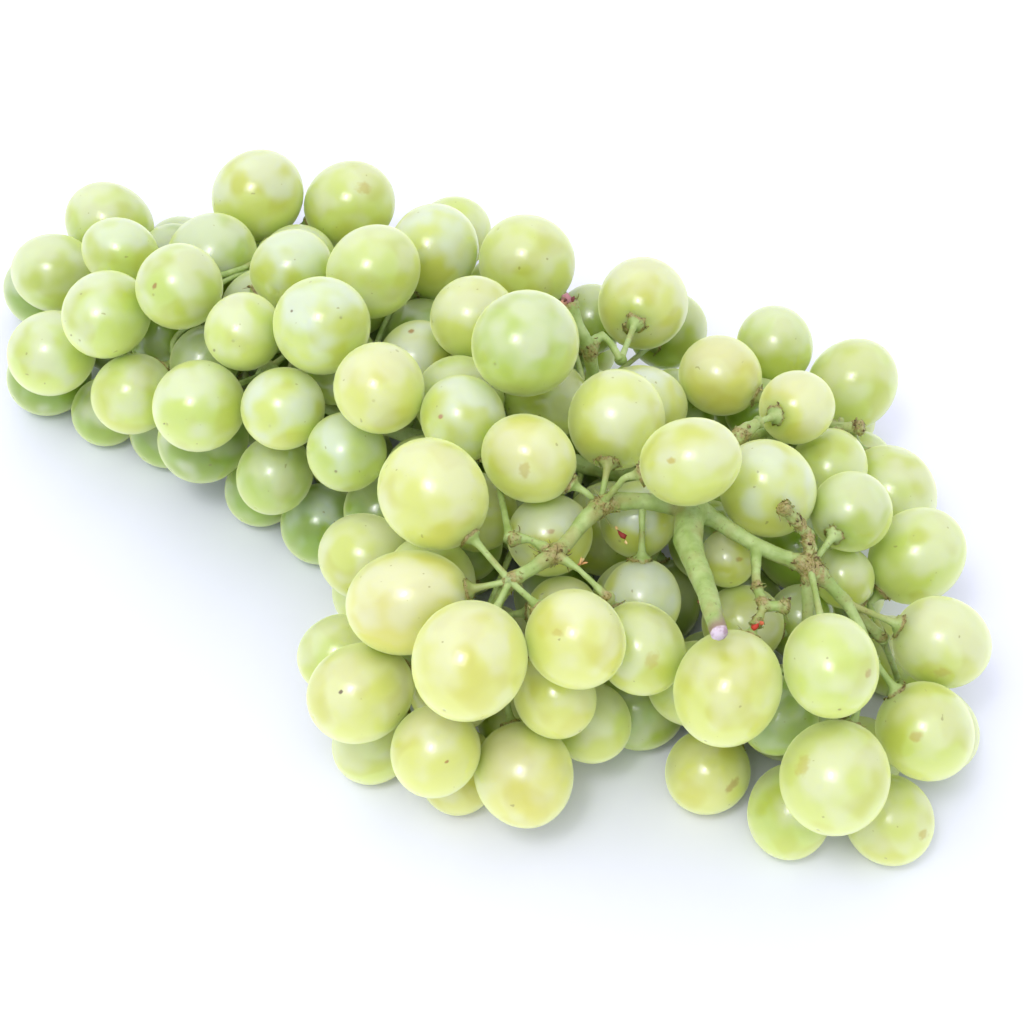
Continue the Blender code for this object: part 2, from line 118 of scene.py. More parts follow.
def nearest_on_frame(points, segments=SEGMENTS):
    """For each point: the nearest spot on the wood, how far off it is, and the wood's radius there."""
    starts, ends = segments[:, 0], segments[:, 1]
    runs = ends[:, :3] - starts[:, :3]
    along = np.einsum("psk,sk->ps", points[:, None] - starts[None, :, :3], runs) / np.sum(runs ** 2, 1)
    along = np.clip(along, 0.0, 1.0)[..., None]
    spots = starts[:, :3] + along * runs
    apart = np.linalg.norm(points[:, None] - spots, axis=2)
    pick = (np.arange(len(points)), np.argmin(apart, 1))
    radii = (starts[:, 3] + along[..., 0] * (ends[:, 3] - starts[:, 3]))[pick]
    return spots[pick], apart[pick], radii


# ---- The berries: where they lie ----
# Some 160 berries pressed together round the frame.  Those in the lists are the ones that show;
# the others fill the bunch behind them.  All are then pushed clear of each other and of the wood.

SHORTEST = 1.03            # length over width of the roundest berries
LONGEST = 1.14             # and of the most oval ones
REST_DENT = 0.45           # how far a berry on the surface is flattened
GROUNDED_BELOW = 13.5      # berries planned lower than this lie on the surface
FRONT_AND_UP = np.array([0.0, -0.64, 0.77])
INWARD = 0.35              # least turn of a hidden stalk end away from the front and top
LOWEST_LEAN = -0.3         # least upward lean of a stalk end

SETTLE_ROUNDS = 900
ROUNDS_A_TURN = 20         # the berries are turned to the wood once in so many rounds
PUSH = 0.35                # share of an overlap that each of the two berries gives way
SHOWN_PULL = 0.04          # share of the way home that a berry is drawn back in each round
LOOSE_PULL = 0.01          # the same for the filling berries

FILL_WIDTH = 19.5
FILL_VARIES = 0.08         # by this share either way
FILL_LEVELS = (9.0, 24.0, 32.0, 40.0, 48.0)
FILL_STEP = 6.0            # spacing of the spots that are tried
FILL_FIELD = 100.0         # half the depth of the field of spots
FILL_ASPECT = 1.2          # width of that field over its depth
COVER_DISTANCE = 6.0       # a berry hides another if it is at least so far above or before it
COVER_ABOVE = 0.8          # and so near its line of sight, in widths: from above
COVER_BEFORE = 0.45        # and from the front
NEIGHBOURHOOD = 26.0       # a filling berry at the back has company this close
LEAST_ABOUT = 3
TIGHT_FIT = 0.43           # room that a filling berry needs about its middle, in widths

# Berries whose own stalk shows: each also has the point on the frame that its stalk leaves from.
STALKED = [
    ((50, -35, 70, 18, 21), LEFT_JOINT),
    ((36, -14, 60, 21, 22), LEFT_JOINT),
    ((17, -28, 62, 18, 20.5), LEFT_JOINT),
    ((-3, -40, 64, 22, 24), LEFT_END),
    ((-8, -56, 50, 21.5, 26), LEFT_END),
    ((5, -75, 56, 22.5, 24.5), LEFT_END),
    ((26, -70, 56, 19.5, 20.5), LEFT_END),
    ((41, -45, 36, 17, 17.5), (41, -33, 55)),
    ((77, -72, 50, 19, 22), RIGHT_JOINT),
    ((86, -28, 46, 17.3, 18), RIGHT_JOINT),
    ((105, -55, 34, 19.5, 21), (84, -51, 43)),
    ((100, -73, 28, 20, 21), (89, -62, 38)),
    ((77, -3, 52, 16.5, 17), (67, -13, 58)),
    ((60, 15, 42, 18.5, 19.5), FAR_RIGHT),
    ((45, 39, 44, 21.5, 25), TWIG_END),
]

# The other berries that show, by the part of the bunch that they lie in.
FAR_LEFT = [
    (-91, 86, 26, 21.5), (-84, 59, 42, 17), (-104, 69, 25, 20), (-106, 48, 10, 20.5), (-100, 37, 29, 20.5),
    (-83, 33, 45, 20), (-65, 34, 54, 20), (-62, 61, 38, 21.5), (-76, 77, 22, 19.5), (-52, 83, 40, 22.5),
    (-76, 23, 30, 19), (-90, 37, 9, 17), (-60, 14, 22, 21), (-49, 12, 9, 18.5), (-72, 31, 10, 19),
    (-73, 44, 30, 18.5), (-60, 33, 34, 16),
]
LEFT = [
    (-39, 42, 52, 18), (-30, 11, 62, 21.5), (-48, 17, 56, 17.5), (-58, 3, 46, 20.5), (-37, 0, 50, 18.5),
    (-42, -2, 28, 17.5), (-23, -11, 46, 17.5), (-33, -1, 10, 19), (-29, 84, 36, 22), (-19, 35, 58, 21),
    (-14, -9, 64, 19.5), (-7, -12, 42, 17.5), (-9, 20, 44, 17.5),
]
MIDDLE = [
    (-6, 55, 46, 21.5), (-2, 82, 28, 19), (17, 51, 46, 23), (4, 19, 56, 19), (15, -3, 70, 22.5),
    (3, -13, 62, 18), (22, 5, 46, 18), (33, 49, 29, 17), (46, 10, 40, 19), (41, -28, 43, 16.5),
]
FRONT = [
    (-19, -30, 32, 19.5), (-17, -10, 25, 17), (-24, -48, 20, 18), (-17, -67, 34, 20.5), (41, -64, 44, 18),
    (-17, -63, 9, 17.5), (-3, -77, 28, 18.5), (16, -79, 21, 20.5), (2, -70, 9, 17.5), (22, -70, 36, 16.5),
    (30, -64, 18, 17), (43, -54, 9, 18.5), (6, -28, 44, 17), (3, -23, 29, 16.5), (21, -36, 46, 17.5),
    (24, -46, 37, 14.5),
]
RIGHT = [
    (56, -74, 46, 21.5), (79, -87, 32, 22), (102, -30, 32, 20), (101, -4, 24, 21.5), (87, -4, 35, 17.5),
    (68, -25, 52, 20), (96, 26, 28, 21), (77, 33, 34, 18.5), (73, 19, 29, 16), (61, -36, 36, 12),
    (87, -35, 30, 13), (56, -71, 13, 18), (73, -81, 11, 18), (94, -83, 11, 18.5), (70, -68, 26, 16),
    (65, -42, 24, 17), (77, -38, 22, 15.5), (100, -40, 9, 18), (98, 13, 15, 16.5), (107, -60, 10, 18),
    (91, -65, 9, 15),
]


class Bunch:
    """All the berries: middles, widths and lengths, and the spot on the wood that each hangs from."""

    def __init__(self):
        rng = np.random.default_rng(7)
        rows = [spot for spot, _ in STALKED]
        for x, y, z, width in FAR_LEFT + LEFT + MIDDLE + FRONT + RIGHT:
            rows.append((x, y, z, width, width * rng.uniform(SHORTEST, LONGEST)))
        self.shown = len(rows)
        rows += self.filling(np.array(rows, float))
        table = np.array(rows, float)
        self.home = table[:, :3].copy()
        self.middle = table[:, :3].copy()
        self.width = table[:, 3]
        self.length = table[:, 4]
        self.aim()

    @staticmethod
    def filling(shown):
        """Berries inside and behind the bunch: wherever one fits among those that show, hidden by them."""
        rng = np.random.default_rng(11)
        taken = shown.copy()
        added = []
        rows = np.arange(-FILL_FIELD, FILL_FIELD, FILL_STEP)
        for height in FILL_LEVELS:
            for back in rows:
                for across in rows * FILL_ASPECT:
                    spot = np.array([across, back, height])
                    width = FILL_WIDTH * rng.uniform(1 - FILL_VARIES, 1 + FILL_VARIES)
                    away = shown[:, :3] - spot
                    beside = np.hypot(away[:, 0], away[:, 1])
                    under = np.any((away[:, 2] > COVER_DISTANCE) & (beside < COVER_ABOVE * shown[:, 3]))
                    ahead = away @ FRONT_AND_UP
                    aside = np.linalg.norm(away - ahead[:, None] * FRONT_AND_UP, axis=1)
                    behind = np.any((ahead > COVER_DISTANCE) & (aside < COVER_BEFORE * shown[:, 3]))
                    about = np.sum(np.linalg.norm(away, axis=1) < NEIGHBOURHOOD)
                    if not behind or not (under or about >= LEAST_ABOUT):
                        continue
                    room = np.min(np.linalg.norm(taken[:, :3] - spot, axis=1) - taken[:, 3] / 2)
                    _, wood, radius = nearest_on_frame(spot[None])
                    if min(room, wood[0] - radius[0]) > TIGHT_FIT * width:
                        added.append((*spot, width, width * rng.uniform(SHORTEST, LONGEST)))
                        taken = np.vstack([taken, added[-1]])
        return added

    def aim(self):
        """Turn each long axis: its stalk end faces the wood, and inwards where the stalk is hidden."""
        self.node = nearest_on_frame(self.middle)[0]
        for index, (_, node) in enumerate(STALKED):
            self.node[index] = node
        way = self.node - self.middle
        way /= np.linalg.norm(way, axis=1)[:, None]
        outward = np.maximum(way @ FRONT_AND_UP + INWARD, 0.0)
        outward[:len(STALKED)] = 0.0
        outward[self.shown:] = 0.0
        way -= outward[:, None] * FRONT_AND_UP
        way[:, 2] = np.maximum(way[:, 2], LOWEST_LEAN)
        self.axis = way / np.linalg.norm(way, axis=1)[:, None]

    def reach(self, which, way):
        """How far the berries picked by which reach from their middles, each in its own direction."""
        along = np.sum(way * self.axis[which], axis=-1)
        wide, long = self.width[which] ** 2, self.length[which] ** 2
        return 0.5 * np.sqrt(wide + (long - wide) * along ** 2)

    def room(self, spots, which):
        """The radius of the thickest wood that passes the spots clear of the berries picked by which."""
        away = spots[:, None] - self.middle[which]
        apart = np.linalg.norm(away, axis=2)
        return np.min(apart - self.reach(which, away / apart[..., None])) - GAP

    def settle(self):
        """Push the berries clear of each other, of the wood and of the surface, but near their homes."""
        first, second = np.triu_indices(len(self.middle), 1)
        everyone = np.arange(len(self.middle))
        up = np.array([0.0, 0.0, 1.0])
        pull = np.where(everyone < self.shown, SHOWN_PULL, LOOSE_PULL)[:, None]
        grounded = self.home[:, 2] < GROUNDED_BELOW
        for step in range(SETTLE_ROUNDS):
            if step < SETTLE_ROUNDS // 2:
                self.middle += pull * (self.home - self.middle)
            if step % ROUNDS_A_TURN == 0:
                self.aim()
            way = self.middle[second] - self.middle[first]
            apart = np.linalg.norm(way, axis=1)
            way /= apart[:, None]
            overlap = self.reach(first, way) + self.reach(second, way) + GAP - apart
            hit = overlap > 0.0
            push = way[hit] * overlap[hit, None] * PUSH
            np.add.at(self.middle, first[hit], -push)
            np.add.at(self.middle, second[hit], push)
            spots, apart, radius = nearest_on_frame(self.middle)
            way = (self.middle - spots) / apart[:, None]
            overlap = self.reach(everyone, way) + radius + GAP - apart
            self.middle += way * np.maximum(overlap, 0.0)[:, None]
            low = self.reach(everyone, up) - REST_DENT
            self.middle[:, 2] = np.where(grounded, low, np.maximum(self.middle[:, 2], low))


bunch = Bunch()
bunch.settle()
bunch.aim()
everyone = np.arange(len(bunch.middle))

# ---- The groups of berries ----
# Berries that press against each other share a CAD node, in groups of up to five.  The groups are
# worked out as they were for the solids, so that each piece stands in for the right node.

MOST_NODES = 59            # the stem is one more
MOST_IN_NODE = 5
WIDEST_NECK = 3.0          # berries further apart than this are never joined
NECK_RADIUS = 2.2          # the patch that joins two solids
NECK_CORNER = 1.3          # wood keeps this many radii from the patch
STALK_RADIUS = 0.85
ROOT_SPREAD = 0.2
CUP_RADIUS = 1.8
CUP_DEPTH = 1.6
STALK_TESTS = 12


def straight_stalks():
    """The solid stalks: those of the berries that have a straight, clear way to the wood."""
    rng = np.random.default_rng(5)
    runs = []
    for i in everyone:
        cup = bunch.middle[i] + bunch.axis[i] * (bunch.length[i] / 2 + GAP)
        neck = cup + bunch.axis[i] * CUP_DEPTH
        spot = bunch.node[i] if i < len(STALKED) else nearest_on_frame(neck[None])[0][0]
        root = spot + rng.uniform(-ROOT_SPREAD, ROOT_SPREAD, 3)
        along = neck + np.linspace(0.0, 1.0, STALK_TESTS)[:, None] * (root - neck)
        others = everyone[everyone != i]
        cup_radius = min(CUP_RADIUS, bunch.room(cup[None], others), bunch.room(neck[None], others))
        if min(cup_radius, bunch.room(along, everyone)) > STALK_RADIUS:
            runs.append(np.array([(*root, STALK_RADIUS), (*neck, STALK_RADIUS), (*cup, cup_radius)]))
    return runs


def grown_together(wood):
    """Group touching berries, closest first and clear of the wood, until few enough groups are left."""
    first, second = np.triu_indices(len(bunch.middle), 1)
    way = bunch.middle[second] - bunch.middle[first]
    apart = np.linalg.norm(way, axis=1)
    way /= apart[:, None]
    air = apart - bunch.reach(first, way) - bunch.reach(second, way)
    touch = bunch.middle[first] + way * (bunch.reach(first, way) + air / 2)[:, None]
    near = np.flatnonzero(air < WIDEST_NECK)
    _, wood_apart, wood_radius = nearest_on_frame(touch[near], wood)
    near = near[wood_apart > wood_radius + NECK_CORNER * NECK_RADIUS + GAP]
    group = {i: [i] for i in range(len(bunch.middle))}
    home = list(range(len(bunch.middle)))
    for k in near[np.argsort(np.round(air[near], 2), kind="stable")]:
        a, b = home[first[k]], home[second[k]]
        if a == b or len(group[a]) + len(group[b]) > MOST_IN_NODE:
            continue
        if len(group) <= MOST_NODES:
            break
        for member in group[b]:
            home[member] = a
        group[a] += group.pop(b)
    return [group[g] for g in sorted(group)]


KINDS = {1: "berry", 2: "berry_pair", 3: "berry_trio", 4: "berry_four", 5: "berry_five"}
counts = dict.fromkeys(KINDS, 0)
groups = []
for members in grown_together(straight_stretches(CURVES + straight_stalks())):
    counts[len(members)] += 1
    groups.append((f"{KINDS[len(members)]}_{counts[len(members)]:02d}", members))

# ---- The berries ----
# White table grapes: thin, waxy, tight skin over clear pale flesh.  Each is a slightly uneven
# oval, dimpled where its stalk holds it and with the flower's small dry scar at the other end.

BERRY_STEPS = 36           # sides round a berry
SWELL = 0.12               # skin beyond the solid, so that neighbours touch
DIMPLE_WIDTH = 0.2         # all these are in half widths of a berry
DIMPLE_DEPTH = 0.035
SCAR_WIDTH = 0.05
SCAR_DEPTH = 0.015
UNEVEN = 0.012


def paint(code):
    """An sRGB hex colour as the linear values that a shader takes."""
    parts = [int(code[i:i + 2], 16) / 255 for i in (1, 3, 5)]
    linear = [c / 12.92 if c <= 0.04045 else ((c + 0.055) / 1.055) ** 2.4 for c in parts]
    return (*linear, 1.0)


def node(tree, kind, inputs=None, **settings):
    """Adds a shader node with its settings, and its inputs as values or as links."""
    made = tree.nodes.new("ShaderNode" + kind)
    for name, value in settings.items():
        setattr(made, name, value)
    for name, value in (inputs or {}).items():
        if isinstance(value, bpy.types.NodeSocket):
            tree.links.new(value, made.inputs[name])
        else:
            made.inputs[name].default_value = value
    return made


def turned(name, outline, steps):
    """A closed body turned round the z axis from its outline, given as (radius, height) points."""
    mesh = bpy.data.meshes.new(name)
    mesh.from_pydata([(r, 0, z) for r, z in outline], [(i, i + 1) for i in range(len(outline) - 1)], [])
    body = bpy.data.objects.new(name, mesh)
    bpy.context.scene.collection.objects.link(body)
    bpy.ops.object.select_all(action="DESELECT")
    body.select_set(True)
    bpy.context.view_layer.objects.active = body
    bpy.ops.object.mode_set(mode="EDIT")
    bpy.ops.mesh.select_all(action="SELECT")
    bpy.ops.mesh.spin(steps=steps, angle=2 * math.pi, center=(0, 0, 0), axis=(0, 0, 1))
    bpy.ops.mesh.select_all(action="SELECT")
    bpy.ops.mesh.remove_doubles(threshold=0.0001)
    bpy.ops.mesh.normals_make_consistent(inside=False)
    bpy.ops.object.mode_set(mode="OBJECT")
    bpy.ops.object.shade_smooth()
    return body


def berry_outline():
    """The outline of a berry of half width 1, from the scar below to the dimple above."""
    outline = []
    for turn in [0, 1.5, 3, 4.5, 7, 11] + list(range(17, 164, 7)) + [166, 170, 174, 177, 180]:
        r = math.sin(math.radians(turn))
        z = -math.cos(math.radians(turn))
        if z > 0:
            z -= DIMPLE_DEPTH * math.exp(-(r / DIMPLE_WIDTH) ** 2)
        else:
            z += SCAR_DEPTH * math.exp(-(r / SCAR_WIDTH) ** 2)
        outline.append((r, z))
    outline[0] = (0.0, outline[0][1])
    outline[-1] = (0.0, outline[-1][1])
    return outline


def corners(mesh):
    """The mesh's vertices as rows of x, y, z."""
    values = np.empty(len(mesh.vertices) * 3)
    mesh.vertices.foreach_get("co", values)
    return values.reshape(-1, 3)


def move_corners(mesh, rows):
    mesh.vertices.foreach_set("co", rows.astype(np.float32).ravel())
    mesh.update()


def give(mesh, name, kind, rows):
    """An attribute with one value, or row of values, for each vertex."""
    slot = {"FLOAT": "value", "FLOAT_VECTOR": "vector", "FLOAT_COLOR": "color"}[kind]
    mesh.attributes.new(name, kind, "POINT").data.foreach_set(slot, np.asarray(rows, np.float32).ravel())


def turn_to(axis):
    """Rows of a turn that takes +z to axis."""
    return np.array(Vector((0, 0, 1)).rotation_difference(Vector(axis)).to_matrix())


# Berries with a thick bluish bloom, by their x and y in the plan.
DUSTY = {(-23, -11), (-37, 0), (-39, 42), (-6, 55), (3, -13), (-9, 20), (46, 10), (68, -25), (41, -45),
         (21, -36), (41, -28), (-30, 11), (-33, -1)}

OLIVE = "#B3A548"
RUSSET = "#96642E"
DARK = "#5A4226"
# Marks on the skin: the berry's x and y in the plan, the mark's place across and up its visible face
# in half widths, its length and width in millimetres, its lean in degrees, its colour and strength.
MARKS = [
    ((-65, 34), (-0.4, -0.1), (2.2, 1.3), 60, RUSSET, 0.8),
    ((3, -13), (-0.5, 0.0), (1.6, 1.2), 20, "#A8705A", 0.8),
    ((-9, 20), (-0.1, 0.7), (2.0, 1.6), 45, RUSSET, 0.85),
    ((26, -70), (-0.4, 0.2), (3.0, 2.0), 0, OLIVE, 0.55),
    ((41, -64), (0.2, -0.2), (5.0, 3.6), 70, OLIVE, 0.5),
    ((105, -55), (-0.2, -0.6), (5.0, 3.0), 10, OLIVE, 0.5),
    ((100, -73), (-0.4, 0.0), (3.6, 2.6), 15, OLIVE, 0.7),
    ((77, -72), (0.6, -0.1), (2.4, 1.8), 80, RUSSET, 0.5),
    ((-17, -67), (-0.3, 0.1), (1.3, 1.0), 40, DARK, 0.9),
    ((-3, -77), (0.3, -0.1), (1.2, 0.8), 30, RUSSET, 0.8),
    ((50, -35), (-0.5, 0.0), (2.2, 1.8), 0, OLIVE, 0.8),
    ((56, -71), (0.5, -0.2), (5.5, 2.2), 50, RUSSET, 0.5),
    ((61, -36), (0.3, 0.0), (2.2, 1.4), 0, RUSSET, 0.5),
    ((17, -28), (-0.1, -0.3), (5.0, 3.0), 85, OLIVE, 0.6),
    ((-76, 77), (0.1, -0.3), (4.0, 3.0), 30, OLIVE, 0.5),
    ((-29, 84), (0.4, 0.2), (5.0, 4.5), 0, OLIVE, 0.6),
    ((94, -83), (0.6, -0.2), (3.4, 3.0), 0, OLIVE, 0.75),
    ((79, -87), (-0.7, 0.3), (6.0, 3.0), 70, OLIVE, 0.5),
    ((-48, 17), (-0.6, -0.5), (0.9, 0.8), 0, DARK, 0.8),
    ((-30, 11), (-0.5, 0.2), (0.8, 0.8), 0, DARK, 0.8),
    ((-83, 33), (-0.6, -0.5), (0.8, 0.6), 0, DARK, 0.7),
    ((-58, 3), (-0.6, -0.4), (0.9, 0.7), 0, DARK, 0.7),
    ((21, -36), (0.0, 0.1), (2.2, 1.6), 20, RUSSET, 0.6),
]
MARK_FIELD = 4.5           # millimetres from a mark's middle within which its shape is kept


def skin_marks(i, places):
    """For each corner of berry i: its place in marks' half lengths from the nearest mark, and the colour."""
    from_mark = np.full((len(places), 3), 50.0)
    colour = np.zeros((len(places), 4))
    across, up = np.array([1.0, 0.0, 0.0]), np.array([0.0, 0.77, 0.64])
    for (x, y), (right, high), (length, width), lean, code, strength in MARKS:
        if i >= bunch.shown or (x, y) != tuple(bunch.home[i, :2].astype(int)):
            continue
        front = math.sqrt(max(1 - right ** 2 - high ** 2, 0.0))
        way = right * across + high * up + front * FRONT_AND_UP
        away = places - bunch.middle[i] - way * bunch.reach(np.array([i]), way[None])[0]
        lean = math.radians(lean)
        own = np.stack([away @ (math.cos(lean) * across + math.sin(lean) * up) * 2 / length,
                        away @ (math.cos(lean) * up - math.sin(lean) * across) * 2 / width,
                        away @ FRONT_AND_UP / MARK_FIELD], axis=1)
        near = np.linalg.norm(away, axis=1) < MARK_FIELD
        from_mark[near] = own[near]
        colour[:] = (*paint(code)[:3], strength)
    return from_mark, colour


RUB_AND_SHADE_REACH = 1.8              # how near a neighbour, in millimetres, the bloom is rubbed off the skin and painted shade darkens it


def pressed_and_shaded(i, places):
    """How near each corner of berry i lies to its neighbours, from 0 to 1: there the waxy dust is rubbed off and the
    skin gets painted shade.
    """
    room = np.full(len(places), 50.0)
    near = np.linalg.norm(bunch.middle - bunch.middle[i], axis=1) < 32.0
    for other in everyone[near & (everyone != i)]:
        away = places - bunch.middle[other]
        apart = np.linalg.norm(away, axis=1)
        reach = bunch.reach(np.full(len(away), other), away / apart[:, None])
        room = np.minimum(room, apart - reach)
    return np.exp(-np.maximum(room, 0.0) / RUB_AND_SHADE_REACH)


def inside(i):
    """How deep in the bunch berry i lies, from 0 to 1: by how many others lie over it."""
    away = bunch.middle - bunch.middle[i]
    over = (away[:, 2] > 9.0) & (np.hypot(away[:, 0], away[:, 1] + 0.5 * away[:, 2]) < 14.0)
    return min(np.sum(over) / 2, 1.0)


def towards_tip(i):
    """How near the bunch's thin end berry i lies, from 0 to 1."""
    return min(max((-bunch.home[i, 0] - 5.0) / 50.0, 0.0), 1.0)


def ripeness_and_shade(i):
    """How yellow a berry is, from 0 to 1: most at the front of the bunch, least at its tip; berries deep inside it are
    made greener and darker, which is painted shade.
    """
    x, y = bunch.home[i, :2]
    front = math.exp(-((x - 8) / 38) ** 2 - ((y + 62) / 34) ** 2)
    # Painted shade: berries with others over them are made greener and darker.
    ripe = 0.40 + 0.45 * front - 0.42 * inside(i) - 0.17 * towards_tip(i) + rng.normal(0, 0.10)
    return min(max(ripe, 0.0), 1.0)


def dust_and_sheen_amount(i):
    """How much pale film a berry has, from 0 to 1: its waxy dust, and with it a painted sheen, more so towards the
    bunch's tip and less deep inside it.
    """
    if i < bunch.shown and tuple(bunch.home[i, :2].astype(int)) in DUSTY:
        return rng.uniform(0.75, 1.0)
    return (rng.uniform(0.05, 0.45) + 0.3 * towards_tip(i)) * (1.0 - 0.7 * inside(i))


berry_model = turned("berry_model", berry_outline(), BERRY_STEPS)
berry_corners = corners(berry_model.data)
rng = np.random.default_rng(21)


def berry_object(i):
    """One berry in its place: a copy of the model, made a little uneven, with its own looks."""
    mesh = berry_model.data.copy()
    way = berry_corners.copy()
    around = np.arctan2(way[:, 1], way[:, 0])
    flank = 1 - way[:, 2] ** 2
    lobes = UNEVEN * np.sin(2 * around + rng.uniform(0, 6.3)) + 0.6 * UNEVEN * np.sin(3 * around + rng.uniform(0, 6.3))
    way[:, :2] *= (1 + lobes * flank + rng.uniform(-0.03, 0.03) * way[:, 2])[:, None]
    half = np.array([bunch.width[i] / 2, bunch.width[i] / 2, bunch.length[i] / 2]) + SWELL
    own = way * half
    spin = rng.uniform(0, 2 * math.pi)
    roll = np.array(Matrix.Rotation(spin, 3, "Z"))
    places = own @ (turn_to(bunch.axis[i]) @ roll).T + bunch.middle[i]
    places[:, 2] = np.maximum(places[:, 2], 0.0)
    move_corners(mesh, (places - (*PLAN_MIDDLE, 0.0)) * MM)
    give(mesh, "along", "FLOAT", own[:, 2] / half[2])
    give(mesh, "from_scar", "FLOAT", np.linalg.norm(own + (0, 0, half[2]), axis=1))
    give(mesh, "upper", "FLOAT", (places[:, 2] - bunch.middle[i, 2]) / half[0])
    give(mesh, "looks", "FLOAT_VECTOR", np.tile((ripeness_and_shade(i), dust_and_sheen_amount(i), rng.uniform(0, 1)), (len(own), 1)))
    give(mesh, "pressed_and_shaded", "FLOAT", pressed_and_shaded(i, places))
    from_mark, colour = skin_marks(i, places)
    give(mesh, "from_mark", "FLOAT_VECTOR", from_mark)
    give(mesh, "mark_colour", "FLOAT_COLOR", colour)
    berry = bpy.data.objects.new("berry", mesh)
    bpy.context.scene.collection.objects.link(berry)
    return berry


# The skin: clear green to amber yellow, clouded by patches, with a thin waxy bloom that dulls it. Painted light too: a
# brighter underside as if lit through the flesh, a pale painted sheen over the tops mixed with the bloom, and painted
# shade where berries touch and on berries deep in the bunch.
skin = bpy.data.materials.new("waxy grape skin")
skin.use_nodes = True
tree = skin.node_tree
shader = tree.nodes["Principled BSDF"]
object_place = node(tree, "TexCoord").outputs["Object"]
place_mm = node(tree, "VectorMath", {0: object_place, "Scale": 1 / MM}, operation="SCALE").outputs[0]
looks = node(tree, "SeparateXYZ", {0: node(tree, "Attribute", attribute_name="looks").outputs["Vector"]}).outputs
along = node(tree, "Attribute", attribute_name="along").outputs["Fac"]


def ramp(factor, stops, ease="LINEAR"):
    """A colour ramp: stops are (position, colour) pairs."""
    made = node(tree, "ValToRGB", {0: factor})
    made.color_ramp.interpolation = ease
    while len(made.color_ramp.elements) < len(stops):
        made.color_ramp.elements.new(1.0)
    for element, (position, colour) in zip(made.color_ramp.elements, stops):
        element.position = position
        element.color = colour if not isinstance(colour, (int, float)) else (colour, colour, colour, 1.0)
    return made.outputs[0]


def blend(factor, one, other, way="MIX"):
    """Mixes two colours."""
    return node(tree, "Mix", {0: factor, 6: one, 7: other}, data_type="RGBA", blend_type=way).outputs[2]


def cloud(scale, detail, seed, distortion=0.0):
    """Soft noise with features of about 1 / scale millimetres."""
    shifted = node(tree, "VectorMath", {0: place_mm, 1: (seed, seed * 1.7, -seed)}, operation="ADD").outputs[0]
    return node(tree, "TexNoise", {"Vector": shifted, "Scale": scale, "Detail": detail,
                                   "Distortion": distortion}).outputs["Fac"]


def times(one, other):
    return node(tree, "Math", {0: one, 1: other}, operation="MULTIPLY").outputs[0]


upper = node(tree, "Attribute", attribute_name="upper").outputs["Fac"]
# Ripeness tone; its darkest green at 0 also serves as painted shade for berries deep in the bunch.
base = ramp(looks[0], [(0.0, paint("#80A02C")), (0.28, paint("#BACC6E")), (0.6, paint("#C8CE72")),
                       (1.0, paint("#D2CE76"))])
# Painted light: a brighter, richer colour for the berry's underside, as if lit through the flesh.
painted_underside_light = ramp(looks[0], [(0.0, paint("#9CBC3C")), (0.28, paint("#DCEA84")), (0.6, paint("#E2EA84")),
                       (1.0, paint("#E8E686"))])
base = blend(node(tree, "MapRange", {0: upper, 1: 0.5, 2: -0.7}).outputs[0], base, painted_underside_light)
clouds = ramp(cloud(0.10, 1.0, 3.0), [(0.47, 0.0), (0.60, 1.0)], "EASE")
base = blend(clouds, base, paint("#F5F1CC"), "MULTIPLY")
stalk_end = ramp(along, [(0.80, 0.0), (1.0, 1.0)])
base = blend(times(stalk_end, 0.45), base, paint("#92B050"))
# Painted sheen: the pale film, which also stands for the waxy dust, lies thicker towards the berry's top, where the
# light falls.
painted_sheen_on_top = node(tree, "MapRange", {0: upper, 1: -1.0, 2: 1.0, 3: -0.40, 4: 0.11}).outputs[0]
dust_and_sheen_noise = node(tree, "Math", {0: cloud(0.12, 1.0, 40.0), 1: painted_sheen_on_top}, operation="ADD").outputs[0]
dust_and_painted_sheen = ramp(dust_and_sheen_noise, [(0.36, 0.0), (0.66, 1.0)], "EASE")
dust_and_sheen_depth = node(tree, "MapRange", {0: looks[1], 3: 0.32, 4: 0.70}).outputs[0]
rubbed_and_painted_shade = node(tree, "Attribute", attribute_name="pressed_and_shaded").outputs["Fac"]
# Painted shade: skin close to a neighbour is darkened to a deep green, and its dust is rubbed off.
base = blend(times(rubbed_and_painted_shade, 0.6), base, paint("#9CBA20"))
dust_and_sheen_depth = times(dust_and_sheen_depth, node(tree, "Math", {0: 1.0, 1: rubbed_and_painted_shade}, operation="SUBTRACT").outputs[0])
dust_and_painted_sheen = times(dust_and_painted_sheen, dust_and_sheen_depth)
dust_and_sheen_colour = ramp(looks[1], [(0.3, paint("#D8DACE")), (0.8, paint("#CCD7D0"))])
base = blend(dust_and_painted_sheen, base, dust_and_sheen_colour)
from_mark = node(tree, "Attribute", attribute_name="from_mark").outputs["Vector"]
mark = node(tree, "Attribute", attribute_name="mark_colour")
mark_far = node(tree, "VectorMath", {0: from_mark}, operation="LENGTH").outputs["Value"]
ragged = node(tree, "MapRange", {0: cloud(0.9, 1.0, 11.0), 3: -0.45, 4: 0.45}).outputs[0]
mark_edge = node(tree, "Math", {0: mark_far, 1: ragged}, operation="ADD").outputs[0]
mark_here = ramp(mark_edge, [(0.35, 1.0), (1.0, 0.0)], "EASE")
base = blend(times(mark_here, mark.outputs["Alpha"]), base, mark.outputs["Color"])
specks = ramp(cloud(0.8, 0.0, 91.0), [(0.84, 0.0), (0.87, 0.5)])
base = blend(specks, base, paint("#7C7434"))
from_scar = node(tree, "Attribute", attribute_name="from_scar").outputs["Fac"]
scar = ramp(from_scar, [(0.25, 0.8), (0.45, 0.0)])
base = blend(times(scar, looks[2]), base, paint("#6E5A30"))
